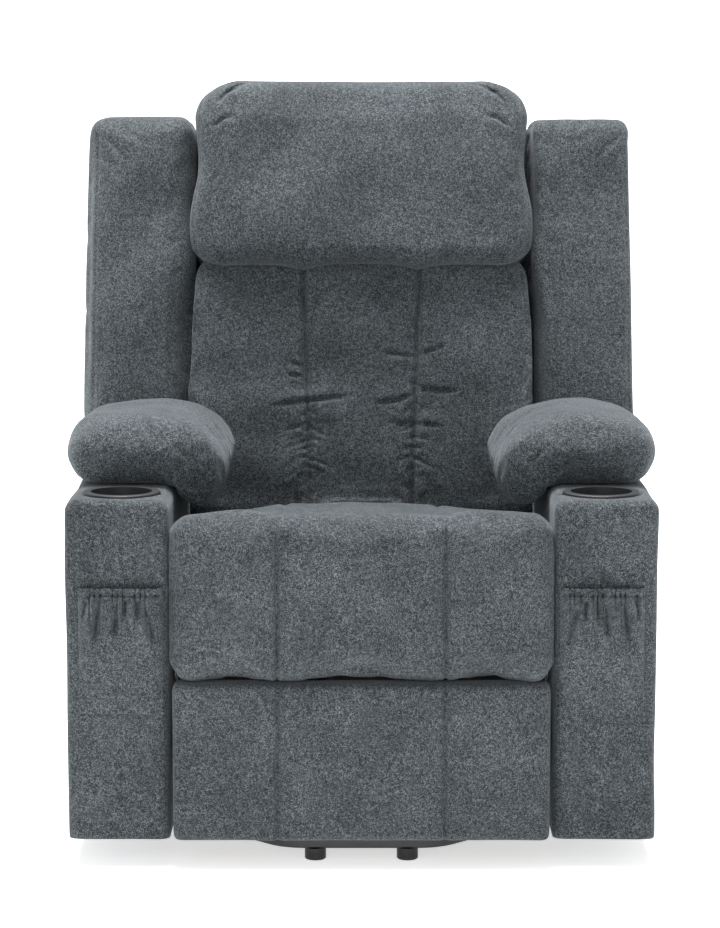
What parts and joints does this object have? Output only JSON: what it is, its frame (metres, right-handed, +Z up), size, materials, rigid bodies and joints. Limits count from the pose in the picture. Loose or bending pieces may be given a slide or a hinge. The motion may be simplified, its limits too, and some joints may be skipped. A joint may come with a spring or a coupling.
{
  "type": "lift recliner chair",
  "caption": "Upholstered power lift recliner with winged pillow back, cup holders in the arms, front pockets, fold-out footrest and a steel lift base.",
  "frame": {"origin": "on the floor under the middle of the chair's bounding box", "axes": "+X across the chair, +Y towards its back, +Z up; the sitter faces -Y"},
  "size_m": [0.872, 0.9026, 1.0941],
  "materials": {
    "upholstery": "matte",
    "black_plastic": "satin",
    "black_steel": "satin",
    "bright_steel": "satin",
    "hardwood": "matte",
    "foot_rubber": "matte",
    "webbing": "matte",
    "lining": "matte"
  },
  "bodies": {
    "base": {"base_frame": "black_steel", "base_feet": "foot_rubber", "base_bracket_left": "black_steel", "base_bracket_right": "black_steel", "base_pivot_pins": "bright_steel"},
    "lift_arms": {"lift_arm_left": "black_steel", "lift_arm_right": "black_steel", "lift_torque_tube": "black_steel"},
    "guides": {"guide_links": "black_steel"},
    "chair": {"side_plate_left": "black_steel", "side_plate_right": "black_steel", "pivot_pins_left": "bright_steel", "pivot_pins_right": "bright_steel", "seat_frame": "hardwood", "seat_springs": "bright_steel", "seat_cushion": "upholstery", "arm_bolts": "bright_steel", "arm_cover_left": "upholstery", "arm_cover_right": "upholstery", "arm_frame_left": "hardwood", "arm_frame_right": "hardwood", "arm_pad_left": "upholstery", "arm_pad_right": "upholstery", "cup_holder_left": "black_plastic", "cup_holder_right": "black_plastic", "pocket_left": "upholstery", "pocket_right": "upholstery", "lift_motor_hanger": "black_steel", "recline_motor_hanger": "black_steel", "rear_valance": "lining", "power_supply": "black_plastic"},
    "backrest": {"back_bracket_left": "black_steel", "back_bracket_right": "black_steel", "back_bar": "black_steel", "back_frame": "hardwood", "back_webbing": "webbing", "lumbar_cushion": "upholstery", "head_pillow": "upholstery", "wing_left": "upholstery", "wing_right": "upholstery", "wing_straps": "black_steel", "rear_cover": "upholstery"},
    "thigh_links": {"thigh_links": "black_steel"},
    "control_links": {"control_links": "black_steel"},
    "shin_links": {"shin_links": "black_steel"},
    "tie_links": {"tie_links": "black_steel"},
    "footrest": {"footrest_brackets": "black_steel", "footrest_board": "hardwood", "footrest_pad": "upholstery"},
    "lift_motor": {"lift_motor": "black_plastic"},
    "lift_rod": {"lift_rod": "bright_steel"},
    "recline_motor": {"recline_motor": "black_plastic"},
    "recline_rod": {"recline_rod": "bright_steel"}
  },
  "joints": [
    {"name": "lift", "type": "hinge", "parent": "base", "child": "lift_arms", "pos_m": [0, -0.25, 0.075], "axis": [1, 0, 0], "range_deg": [0, 55]},
    {"name": "chair_tilt", "type": "hinge", "parent": "lift_arms", "child": "chair", "pos_m": [0, 0.13, 0.115], "axis": [-1, 0, 0], "range_deg": [0, 29]},
    {"name": "guide_turn", "type": "hinge", "parent": "base", "child": "guides", "pos_m": [0, -0.3012, 0.0536], "axis": [1, 0, 0], "range_deg": [0, 63.1]},
    {"name": "back_recline", "type": "hinge", "parent": "chair", "child": "backrest", "pos_m": [0, 0.215, 0.348], "axis": [-1, 0, 0], "range_deg": [0, 40]},
    {"name": "thigh_turn", "type": "hinge", "parent": "chair", "child": "thigh_links", "pos_m": [0, -0.31, 0.253], "axis": [-1, 0, 0], "range_deg": [0, 125.2]},
    {"name": "control_turn", "type": "hinge", "parent": "chair", "child": "control_links", "pos_m": [0, -0.3037, 0.2783], "axis": [-1, 0, 0], "range_deg": [0, 131.3]},
    {"name": "shin_turn", "type": "hinge", "parent": "thigh_links", "child": "shin_links", "pos_m": [0, -0.16829, 0.11187], "axis": [1, 0, 0], "range_deg": [0, 91.3]},
    {"name": "tie_turn", "type": "hinge", "parent": "thigh_links", "child": "tie_links", "pos_m": [0, -0.1506, 0.1236], "axis": [1, 0, 0], "range_deg": [0, 97.6]},
    {"name": "footrest_turn", "type": "hinge", "parent": "shin_links", "child": "footrest", "pos_m": [0, -0.365, 0.148], "axis": [-1, 0, 0], "range_deg": [0, 56.2]},
    {"name": "lift_motor_swing", "type": "hinge", "parent": "chair", "child": "lift_motor", "pos_m": [0, -0.15, 0.2], "axis": [1, 0, 0], "range_deg": [0, 2.29]},
    {"name": "lift_rod_slide", "type": "slide", "parent": "lift_motor", "child": "lift_rod", "axis": [0, 0.8797, -0.4755], "range_m": [0, 0.02784]},
    {"name": "recline_motor_swing", "type": "hinge", "parent": "chair", "child": "recline_motor", "pos_m": [0, -0.32, 0.238], "axis": [1, 0, 0], "range_deg": [0, 0.0848]},
    {"name": "recline_rod_slide", "type": "slide", "parent": "recline_motor", "child": "recline_rod", "axis": [0, 0.9954, 0.0961], "range_m": [-0.04164, 0]}
  ],
  "couplings": [
    {"joint": "chair_tilt", "follows": "lift", "ratio": 0.52727},
    {"joint": "guide_turn", "follows": "lift", "ratio": 1.146},
    {"joint": "thigh_turn", "follows": "back_recline", "ratio": 3.1276},
    {"joint": "control_turn", "follows": "back_recline", "ratio": 3.2805},
    {"joint": "shin_turn", "follows": "back_recline", "ratio": 2.2793},
    {"joint": "tie_turn", "follows": "back_recline", "ratio": 2.437},
    {"joint": "footrest_turn", "follows": "back_recline", "ratio": 1.4018},
    {"joint": "lift_motor_swing", "follows": "lift", "ratio": 0.040782},
    {"joint": "lift_rod_slide", "follows": "lift", "m_per_rad": 0.028718},
    {"joint": "recline_motor_swing", "follows": "back_recline", "ratio": 0.002018},
    {"joint": "recline_rod_slide", "follows": "back_recline", "m_per_rad": -0.059055}
  ]
}
